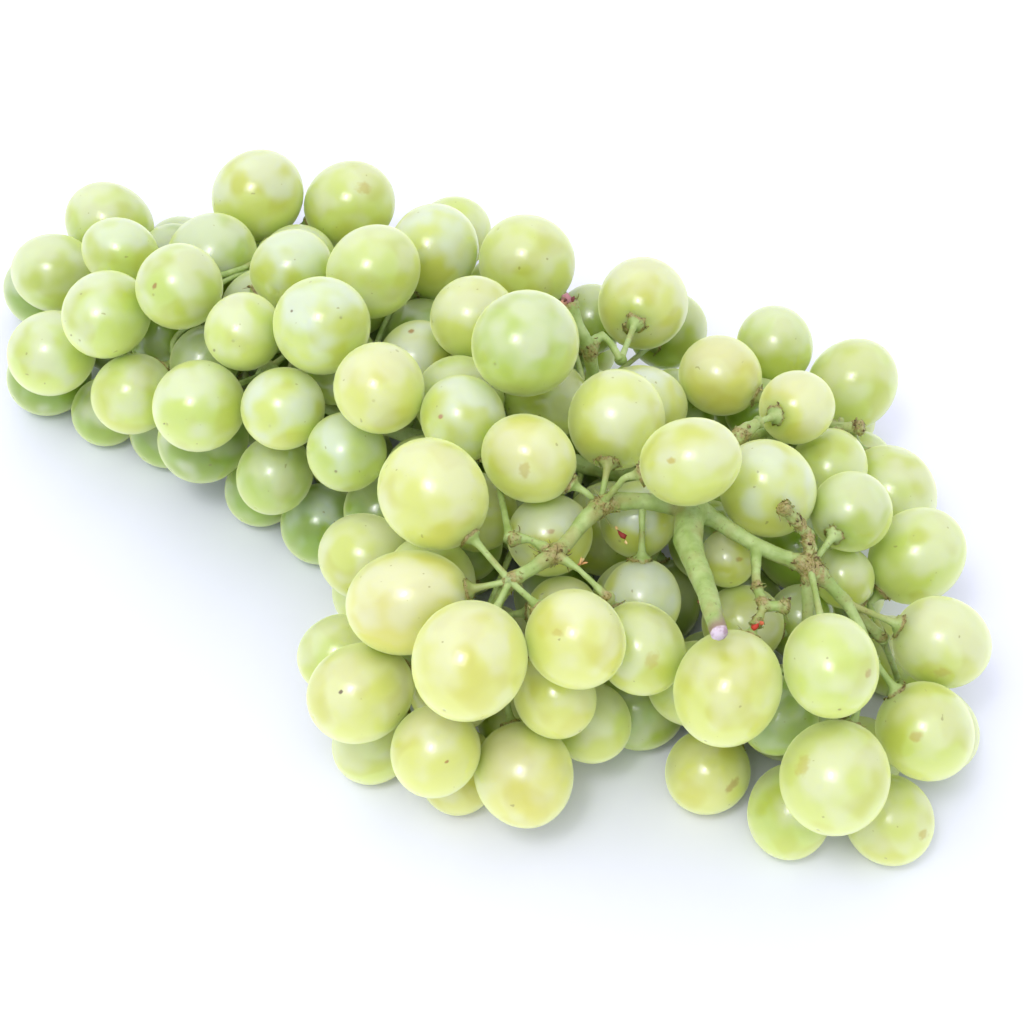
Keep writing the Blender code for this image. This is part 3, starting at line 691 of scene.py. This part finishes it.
tree.links.new(base, shader.inputs["Base Color"])
dull = node(tree, "MapRange", {0: dust_and_painted_sheen, 1: 0.0, 2: 0.6, 3: 0.28, 4: 0.44}).outputs[0]
tree.links.new(dull, shader.inputs["Roughness"])
shader.inputs["IOR"].default_value = 1.5
shader.inputs["Subsurface Weight"].default_value = 1.0
shader.inputs["Subsurface Radius"].default_value = (1.0, 1.0, 0.25)
shader.inputs["Subsurface Scale"].default_value = 15.0 * MM
shader.inputs["Sheen Weight"].default_value = 1.0
shader.inputs["Sheen Roughness"].default_value = 0.5
shader.inputs["Sheen Tint"].default_value = paint("#E0EAA0")
shader.inputs["Coat Weight"].default_value = 1.0
shader.inputs["Coat Roughness"].default_value = 0.15
shader.inputs["Coat IOR"].default_value = 1.45

for name, members in groups:
    berries = [berry_object(i) for i in members]
    bpy.ops.object.select_all(action="DESELECT")
    for berry in berries:
        berry.select_set(True)
    bpy.context.view_layer.objects.active = berries[0]
    if len(berries) > 1:
        bpy.ops.object.join()
    piece = berries[0]
    piece.name = name.replace("berry", "grape")
    piece.data.name = piece.name
    piece.data.materials.append(skin)
    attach(piece, "root")
    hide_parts(name)
bpy.data.objects.remove(berry_model)

# ---- The stem ----
# Living green wood, round and a little knotty, thickened at its forks.  The runs are drawn as
# tubes, grown into one skin, and roughened.  The wood is brown and scaly at joints and old scars.

STEM_GRAIN = 0.36          # size of the skin's faces
STOUTER = (0.9, 1.22)      # the cut stalk's girth next to its solid's, at its cut end and at the fork
SLIMMER = 0.8              # the same for the bare twigs
# Where the wood is brown and scaly, and how far round each spot.
SCALY = [(LEFT_JOINT, 4.6), (LEFT_SIDE, 3.4), (RIGHT_JOINT, 4.8), (LEFT_END, 2.8), (UPPER_RIGHT, 3.0),
         (UPPER_FORK, 3.0), (FORK, 2.2)]
SCALY += [(RUNS[k][-1][:3], 2.6) for k in (8, 9, 11, 12, 13, 14, 15, 16)]
SCALY += [((76, -40, 51), 2.8), ((74, -38, 54), 2.8), ((64, -53, 51), 1.8), ((65, -57, 51), 2.2)]


def tube(run, sides):
    """A closed tube through a run's points, as a curve."""
    line = bpy.data.curves.new("tube", "CURVE")
    line.dimensions = "3D"
    line.bevel_depth = MM
    line.bevel_resolution = sides
    line.use_fill_caps = True
    spline = line.splines.new("POLY")
    spline.points.add(len(run) - 1)
    for point, (x, y, z, radius) in zip(spline.points, run):
        point.co = ((x - PLAN_MIDDLE[0]) * MM, (y - PLAN_MIDDLE[1]) * MM, z * MM, 1.0)
        point.radius = radius
    piece = bpy.data.objects.new("tube", line)
    bpy.context.scene.collection.objects.link(piece)
    return piece


def one_mesh(pieces, name):
    """The pieces turned to meshes and joined."""
    bpy.ops.object.select_all(action="DESELECT")
    for piece in pieces:
        piece.select_set(True)
    bpy.context.view_layer.objects.active = pieces[0]
    bpy.ops.object.convert(target="MESH")
    bpy.ops.object.join()
    whole = bpy.context.view_layer.objects.active
    whole.name = name
    whole.data.name = name
    return whole


def finish_with(piece, kind, **settings):
    """Adds a modifier with its settings and works it into the mesh."""
    bpy.context.view_layer.objects.active = piece
    made = piece.modifiers.new(kind.lower(), kind)
    for key, value in settings.items():
        setattr(made, key, value)
    bpy.ops.object.modifier_apply(modifier=made.name)


drawn = [curve.copy() for curve in CURVES]
drawn[0][:, 3] *= np.linspace(*STOUTER, len(drawn[0]))
for curve in drawn[-6:]:
    curve[:, 3] *= SLIMMER
stem = one_mesh([tube(curve, 3) for curve in drawn], "stem_wood")
finish_with(stem, "REMESH", mode="VOXEL", voxel_size=STEM_GRAIN * MM)
finish_with(stem, "SMOOTH", factor=0.5, iterations=8)
bpy.ops.object.select_all(action="DESELECT")
stem.select_set(True)
bpy.ops.object.shade_smooth()

cut_end = np.array(RUNS[0][0][:3])
cut_way = np.array(RUNS[0][1][:3]) - cut_end
cut_way = cut_way / np.linalg.norm(cut_way)
cut_spot = cut_end + cut_way * 0.5
bpy.ops.object.mode_set(mode="EDIT")
bpy.ops.mesh.select_all(action="SELECT")
bpy.ops.mesh.bisect(plane_co=(cut_spot - (*PLAN_MIDDLE, 0.0)) * MM, plane_no=-cut_way, clear_outer=True,
                    use_fill=True)
bpy.ops.mesh.select_all(action="DESELECT")
bpy.ops.object.mode_set(mode="OBJECT")

places = corners(stem.data) / MM + (*PLAN_MIDDLE, 0.0)
woody = np.zeros(len(places))
for spot, width in SCALY:
    woody = np.maximum(woody, np.exp(-(np.linalg.norm(places - np.array(spot), axis=1) / width) ** 2))
normals = np.empty(len(places) * 3)
stem.data.vertices.foreach_get("normal", normals)
normals = normals.reshape(-1, 3)
rough = np.array([noise.fractal(Vector(p) * 0.9, 0.8, 2.2, 3) for p in places])
swell = np.array([noise.noise(Vector(p) * 0.22) for p in places])
places += normals * (0.28 * rough * (0.15 + woody) + 0.25 * swell + 0.5 * woody)[:, None]
move_corners(stem.data, (places - (*PLAN_MIDDLE, 0.0)) * MM)
give(stem.data, "woody", "FLOAT", woody)
from_cut = np.where(np.linalg.norm(places - cut_end, axis=1) < 8, (places - cut_spot) @ cut_way, 50.0)
give(stem.data, "cut", "FLOAT", np.clip(1.0 - from_cut / (3.5 + 5.0 * np.clip(normals[:, 0], 0, 1)), 0, 1))

bark = bpy.data.materials.new("green stem wood")
bark.use_nodes = True
tree = bark.node_tree
shader = tree.nodes["Principled BSDF"]
object_place = node(tree, "TexCoord").outputs["Object"]
place_mm = node(tree, "VectorMath", {0: object_place, "Scale": 1 / MM}, operation="SCALE").outputs[0]
woody_here = node(tree, "Attribute", attribute_name="woody").outputs["Fac"]
cut_here = node(tree, "Attribute", attribute_name="cut").outputs["Fac"]
base = ramp(cloud(0.25, 3.0, 7.0), [(0.35, paint("#93AC58")), (0.65, paint("#B3C77E"))])
base = blend(ramp(cloud(0.16, 3.0, 83.0), [(0.48, 0.0), (0.66, 0.6)]), base, paint("#A09A55"))
flecks = ramp(cloud(1.1, 3.0, 20.0), [(0.64, 0.0), (0.70, 1.0)])
base = blend(node(tree, "Math", {0: flecks, 1: 0.5}, operation="MULTIPLY").outputs[0], base, paint("#7A6A3A"))
grain = cloud(0.9, 4.0, 55.0)
brown = node(tree, "Math", {0: woody_here, 1: grain}, operation="MULTIPLY").outputs[0]
brown = ramp(brown, [(0.20, 0.0), (0.42, 1.0)])
base = blend(brown, base, ramp(cloud(2.0, 3.0, 71.0), [(0.32, paint("#6A5A2C")), (0.48, paint("#98904C")),
                                                    (0.62, paint("#A89464"))]))
base = blend(ramp(cut_here, [(0.0, 0.0), (0.75, 0.9)]), base, paint("#937A68"))
pith = ramp(cloud(0.6, 3.0, 37.0), [(0.40, paint("#B49AA0")), (0.55, paint("#DCCDD2"))])
base = blend(ramp(cut_here, [(0.88, 0.0), (0.97, 1.0)]), base, pith)
tree.links.new(base, shader.inputs["Base Color"])
shader.inputs["Roughness"].default_value = 0.5
shader.inputs["Subsurface Weight"].default_value = 0.25
shader.inputs["Subsurface Radius"].default_value = (1.0, 1.0, 0.5)
shader.inputs["Subsurface Scale"].default_value = 1.0 * MM
bump = node(tree, "Bump", {"Strength": 0.5, "Distance": 0.2 * MM, "Height": cloud(1.8, 4.0, 12.0)})
tree.links.new(bump.outputs[0], shader.inputs["Normal"])
stem.data.materials.append(bark)
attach(stem, "root")
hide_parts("stem")

# ---- The berries' own stalks ----
# Each berry hangs on a thin green stalk, which swells into a warty brown-rimmed cup where it holds
# the berry and thickens again where it leaves the wood.  They bend round the berries in their way.

PATH_POINTS = 12
PATH_ROUNDS = 80
PATH_CLEAR = 1.1           # a stalk's middle line keeps this far from the berries
NECK_STRAIGHT = 2.6        # the cup's length, which stays straight
SHANK = 20.0               # length of the model's thin part, stretched to suit each berry
STALK_STEPS = (14, 8)      # sides round a stalk that shows, and round one inside the bunch
CUP_OUTLINE = [(0, -0.9), (1.3, -0.8), (1.9, -0.4), (2.2, 0.0), (2.3, 0.35), (2.15, 0.7), (1.7, 1.05),
               (1.25, 1.45), (1.0, 1.85), (0.88, 2.3)]
SHANK_OUTLINE = [(0.85, 0.0), (0.75, 1.5), (0.7, 3.5), (0.68, 6.0), (0.68, 8.0), (0.68, 10.0), (0.68, 12.0),
                 (0.7, 14.0), (0.76, 16.0), (0.9, 18.0), (1.3, 19.4), (1.5, 20.0), (0.0, 20.2)]
WARTS = 0.45


def stalk_paths():
    """For every berry, the points of its stalk's middle line, from the skin to the wood."""
    tip = bunch.middle + bunch.axis * (bunch.length / 2 * (1 - DIMPLE_DEPTH))[:, None]
    neck = tip + bunch.axis * NECK_STRAIGHT
    root = nearest_on_frame(neck)[0]
    root[:len(STALKED)] = bunch.node[:len(STALKED)]
    share = np.linspace(0.0, 1.0, PATH_POINTS)[:, None]
    path = neck[:, None] + share * (root - neck)[:, None]
    path[:, 1] = neck + bunch.axis * 1.5
    for _ in range(PATH_ROUNDS):
        inner = path[:, 2:-1]
        inner += 0.4 * ((path[:, 1:-2] + path[:, 3:]) / 2 - inner)
        away = inner[:, :, None] - bunch.middle
        apart = np.linalg.norm(away, axis=3)
        away /= apart[..., None]
        depth = bunch.reach(everyone, away) + PATH_CLEAR - apart
        worst = np.argmax(depth, axis=2)[..., None]
        push = np.maximum(np.take_along_axis(depth, worst, axis=2), 0.0)
        inner += 0.7 * push * np.take_along_axis(away, worst[..., None], axis=2)[:, :, 0]
    return np.concatenate([tip[:, None], path], axis=1)


def bent_along(points, line):
    """The model's points laid along a line: z becomes the way along it, x and y stay across it."""
    runs = np.diff(line, axis=0)
    lengths = np.linalg.norm(runs, axis=1)
    starts = np.concatenate([[0.0], np.cumsum(lengths)])
    frames = [turn_to(runs[0])]
    for before, after in zip(runs, runs[1:]):
        bend = np.array(Vector(before).rotation_difference(Vector(after)).to_matrix())
        frames.append(bend @ frames[-1])
    frames = np.array(frames)
    mids = np.concatenate([[0.0], (starts[1:] + starts[:-1]) / 2, [starts[-1]]])
    sides = np.concatenate([frames[:1], frames, frames[-1:]])
    z = np.clip(points[:, 2], 0.0, starts[-1])
    spot = np.stack([np.interp(z, starts, line[:, k]) for k in range(3)], axis=1)
    across = [np.stack([np.interp(z, mids, sides[:, k, j]) for k in range(3)], axis=1) for j in range(2)]
    spot += points[:, :1] * across[0] + points[:, 1:2] * across[1]
    over = points[:, 2] - z
    return spot + over[:, None] * np.where(over < 0, 1, 0)[:, None] * sides[0][:, 2] \
        + over[:, None] * np.where(over > 0, 1, 0)[:, None] * sides[-1][:, 2]


stalk_outline = CUP_OUTLINE + [(r, NECK_STRAIGHT + z) for r, z in SHANK_OUTLINE]
stalk_models = [turned("stalk_model", stalk_outline, steps) for steps in STALK_STEPS]


def stalk_object(i, line):
    """One berry's stalk: a copy of the model with its own warts, bent along its line."""
    mesh = stalk_models[i >= bunch.shown].data.copy()
    points = corners(mesh)
    rim = np.exp(-((points[:, 2] - 0.35) / 0.55) ** 2)
    bumps = np.array([noise.noise(Vector(p * 1.5) + Vector((i * 5.0, 0, 0))) for p in points])
    points[:, :2] *= (1 + WARTS * rim * bumps * 1.6)[:, None]
    points[:, 2] += rim * bumps * 0.5
    length = np.sum(np.linalg.norm(np.diff(line, axis=0), axis=1))
    shank = points[:, 2] > NECK_STRAIGHT
    points[shank, 2] = NECK_STRAIGHT + (points[shank, 2] - NECK_STRAIGHT) * (length - NECK_STRAIGHT) / SHANK
    places = bent_along(points, line)
    move_corners(mesh, (places - (*PLAN_MIDDLE, 0.0)) * MM)
    root_end = np.clip((points[:, 2] - length + 2.0) / 2.0, 0, 1)
    give(mesh, "woody", "FLOAT", np.clip(rim * 1.1, 0, 1) + 0.35 * root_end)
    give(mesh, "cut", "FLOAT", np.zeros(len(points)))
    stalk = bpy.data.objects.new("stalk", mesh)
    bpy.context.scene.collection.objects.link(stalk)
    return stalk


paths = stalk_paths()
berry_stalks = one_mesh([stalk_object(i, line) for i, line in enumerate(paths)], "berry_stalks")
for model in stalk_models:
    bpy.data.objects.remove(model)
berry_stalks.data.materials.append(bark)
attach(berry_stalks, "root")
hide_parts("stem")

# ---- Scales and dry threads ----
# Dry brown bracts and bristles, papery and brittle.  They stay where the wood forks, on the scars of
# berries that have come off, and round the rim of each stalk's cup.

WOOD_SCALES = 260
CUP_SCALES = 520
THREADS = 80
# Dead flower buds and torn ends: the place in the plan, length and width, direction and colour.
BUDS = [
    ((62.8, -63.0, 50.8), (2.6, 1.9), (-0.3, -0.8, -0.1), "#C8402C"),
    ((61.4, -64.4, 50.0), (1.7, 1.1), (-0.9, -0.3, -0.3), "#8E3020"),
    ((64.2, -62.2, 51.0), (1.4, 1.0), (0.4, -0.4, 0.6), "#D8704A"),
    ((36.3, -41.0, 53.6), (2.6, 1.2), (0.5, -0.8, -0.1), "#8A2A1E"),
    ((37.2, -42.8, 53.2), (1.3, 0.7), (0.4, -0.9, 0.0), "#E6C888"),
    ((35.4, -39.6, 54.0), (1.4, 0.6), (-0.3, 0.9, 0.1), "#C9A868"),
    ((27.6, -48.8, 54.6), (1.9, 0.5), (0.2, 0.8, 0.5), "#E4B878"),
    ((28.4, -49.4, 54.6), (1.9, 0.5), (0.8, -0.2, 0.5), "#DDA668"),
    ((27.2, -49.6, 54.4), (1.7, 0.5), (-0.4, -0.8, 0.3), "#B8783E"),
    ((28.0, -49.2, 55.2), (1.7, 0.5), (0.3, 0.1, 0.9), "#E8C48C"),
    ((25.6, 15.6, 67.6), (3.0, 2.6), (-0.2, -0.2, 0.9), "#B47C7E"),
    ((24.6, 14.6, 66.8), (3.6, 1.6), (0.1, -0.2, 0.9), "#C08A70"),
    ((26.8, 15.4, 67.2), (3.2, 1.0), (0.3, 0.0, 0.9), "#7A3E3C"),
    ((25.2, 14.4, 68.4), (1.6, 0.8), (0.8, 0.2, 0.6), "#6A3A36"),
    ((54.6, -51.0, 45.0), (3.4, 2.4), (-0.7, -0.4, 0.1), "#B07A5E"),
    ((53.0, -52.0, 44.6), (2.2, 1.2), (-0.8, 0.2, 0.4), "#7E4A34"),
]


def spots_on(piece, least):
    """Places, in millimetres, and outward directions on a piece where it is at least so woody."""
    count = len(piece.data.vertices)
    amount = np.empty(count)
    piece.data.attributes["woody"].data.foreach_get("value", amount)
    outward = np.empty(count * 3)
    piece.data.vertices.foreach_get("normal", outward)
    keep = amount > least
    return (corners(piece.data) / MM + (*PLAN_MIDDLE, 0.0))[keep], outward.reshape(-1, 3)[keep]


bpy.ops.object.select_all(action="DESELECT")
bpy.ops.mesh.primitive_ico_sphere_add(subdivisions=1, radius=0.5)
scale_model = bpy.context.object
bud_corners = corners(scale_model.data)
scale_corners = bud_corners * (1.6, 0.9, 0.35)
scale_corners[:, 2] += 0.5 * scale_corners[:, 0] ** 2
scale_corners[:, 0] += 0.5
pieces = []
for piece, least, count in ((stem, 0.4, WOOD_SCALES), (berry_stalks, 0.75, CUP_SCALES)):
    spots, outward = spots_on(piece, least)
    for k in rng.choice(len(spots), count, replace=False):
        lean = turn_to(outward[k] + rng.normal(0, 0.45, 3))
        turn = lean @ np.array(Matrix.Rotation(rng.uniform(0, 2 * math.pi), 3, "Z"))
        flake = bpy.data.objects.new("scale", scale_model.data.copy())
        bpy.context.scene.collection.objects.link(flake)
        rows = scale_corners * rng.uniform(0.35, 1.15, 3) @ turn.T + spots[k]
        move_corners(flake.data, (rows - (*PLAN_MIDDLE, 0.0)) * MM)
        pieces.append(flake)
    for k in rng.choice(len(spots), THREADS, replace=False):
        way = outward[k] + rng.normal(0, 0.6, 3)
        drift = rng.normal(0, 0.4, 3)
        length = rng.uniform(0.5, 1.8)
        steps = np.linspace(0, 1, 4)[:, None]
        line = spots[k] + length * (way * steps + drift * steps ** 2)
        pieces.append(tube(np.hstack([line, 0.15 - 0.08 * steps]), 0))
for place, (length, width), way, colour in BUDS:
    bud = bpy.data.objects.new("bud", scale_model.data.copy())
    bpy.context.scene.collection.objects.link(bud)
    rows = bud_corners * (width, width, length) * (1 + 0.25 * rng.normal(0, 1, (len(bud_corners), 1)))
    rows = rows @ turn_to(Vector(way).normalized()).T + np.array(place)
    move_corners(bud.data, (rows - (*PLAN_MIDDLE, 0.0)) * MM)
    give(bud.data, "bud", "FLOAT", np.ones(len(rows)))
    give(bud.data, "bud_colour", "FLOAT_VECTOR", np.tile(paint(colour)[:3], (len(rows), 1)))
    pieces.append(bud)
bpy.data.objects.remove(scale_model)
scales = one_mesh(pieces, "dry_scales")
bpy.ops.object.shade_smooth()
dry = bpy.data.materials.new("dry bract")
dry.use_nodes = True
tree = dry.node_tree
shader = tree.nodes["Principled BSDF"]
object_place = node(tree, "TexCoord").outputs["Object"]
place_mm = node(tree, "VectorMath", {0: object_place, "Scale": 1 / MM}, operation="SCALE").outputs[0]
base = ramp(cloud(0.8, 2.0, 31.0), [(0.30, paint("#54421F")), (0.43, paint("#857540")), (0.55, paint("#95A056")),
                                     (0.68, paint("#A8925A"))])
bud_colour = node(tree, "Attribute", attribute_name="bud_colour").outputs["Color"]
base = blend(node(tree, "Attribute", attribute_name="bud").outputs["Fac"], base, bud_colour)
tree.links.new(base, shader.inputs["Base Color"])
shader.inputs["Roughness"].default_value = 0.7
scales.data.materials.append(dry)
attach(scales, "root")
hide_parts("stem")

# ---- The surface, the light and the camera ----
# A plain white surface under soft studio light: a pale surround, a large soft lamp above and behind,
# and a small one over the camera that gives each berry its glint.

VIEW_TARGET = (16.7, -20.1, 30.0)
VIEW_DISTANCE = 430.0
VIEW_HEIGHT = 50.0         # degrees above the surface
VIEW_LENS = 66.2

bpy.ops.object.select_all(action="DESELECT")
bpy.ops.mesh.primitive_plane_add(size=12.0, location=(0, 0, 0))
floor = bpy.context.object
floor.name = "floor"
white = bpy.data.materials.new("white card")
white.use_nodes = True
white.node_tree.nodes["Principled BSDF"].inputs["Base Color"].default_value = paint("#ECEEF8")
white.node_tree.nodes["Principled BSDF"].inputs["Roughness"].default_value = 0.7
floor.data.materials.append(white)

world = bpy.data.worlds.new("studio")
world.use_nodes = True
world.node_tree.nodes["Background"].inputs["Color"].default_value = paint("#EAECFF")
world.node_tree.nodes["Background"].inputs["Strength"].default_value = 1.08
bpy.context.scene.world = world


def lamp(name, place, aim, size, power, colour):
    """A soft lamp, turned to what it lights."""
    light = bpy.data.lights.new(name, "AREA")
    light.shape = "RECTANGLE"
    light.size, light.size_y = size
    light.energy = power
    light.color = paint(colour)[:3]
    holder = bpy.data.objects.new(name, light)
    holder.location = place
    holder.rotation_euler = (Vector(aim) - Vector(place)).to_track_quat("-Z", "Y").to_euler()
    bpy.context.scene.collection.objects.link(holder)


lamp("overhead softbox", (-0.15, 0.45, 1.1), (0.0, 0.0, 0.03), (1.6, 1.6), 3.0, "#FFF2E0")
lamp("front softbox", (-0.19, -0.48, 1.0), (0.0, 0.0, 0.03), (0.5, 0.42), 3.3, "#F8F5FF")
lamp("its bright middle", (-0.185, -0.47, 0.98), (0.0, 0.0, 0.03), (0.12, 0.2), 1.5, "#FFFFFF")

lean = math.radians(VIEW_HEIGHT)
target = Vector(VIEW_TARGET) * MM
eye = target + Vector((0.0, -math.cos(lean), math.sin(lean))) * VIEW_DISTANCE * MM
view = bpy.data.cameras.new("camera")
view.lens = VIEW_LENS
view.sensor_width = 36.0
view.clip_start = 0.01
camera = bpy.data.objects.new("camera", view)
camera.location = eye
camera.rotation_euler = (target - eye).to_track_quat("-Z", "Y").to_euler()
bpy.context.scene.collection.objects.link(camera)
bpy.context.scene.camera = camera
bpy.context.scene.view_settings.view_transform = "Standard"
